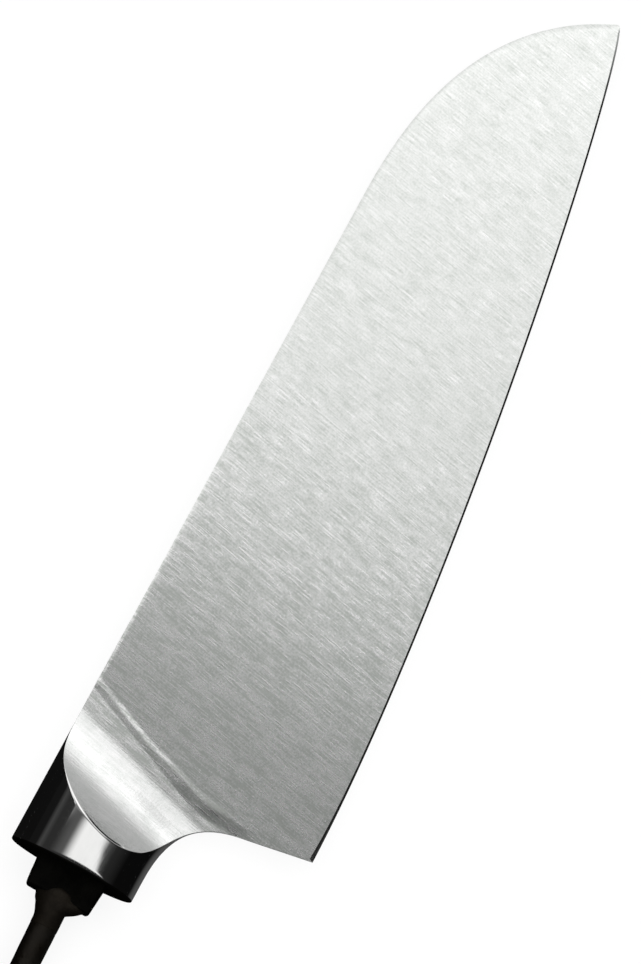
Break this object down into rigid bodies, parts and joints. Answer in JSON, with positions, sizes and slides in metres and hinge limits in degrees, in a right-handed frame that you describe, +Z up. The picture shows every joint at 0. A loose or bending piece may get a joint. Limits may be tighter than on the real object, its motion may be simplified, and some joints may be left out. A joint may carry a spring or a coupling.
{
  "type": "santoku knife",
  "caption": "Santoku kitchen knife without its handle: wide satin blade, polished oval bolster with a swept neck, black shoulder block and slim stick tang.",
  "frame": {"origin": "under the middle of the knife's box, on the surface that the bolster rests on", "axes": "the knife lies on its side: +X along the knife towards the tip, +Y towards the spine, +Z up out of the flank"},
  "size_m": [0.2802, 0.0498, 0.017],
  "materials": {
    "satin_steel": "satin, ground across the blade",
    "polished_steel": "mirror polished",
    "black_scale": "black forge scale, unpolished"
  },
  "bodies": {
    "root": {"blade": "satin_steel", "bolster": "polished_steel", "tang_block": "black_scale", "tang_rod": "black_scale", "tang_weld": "black_scale"}
  },
  "joints": []
}
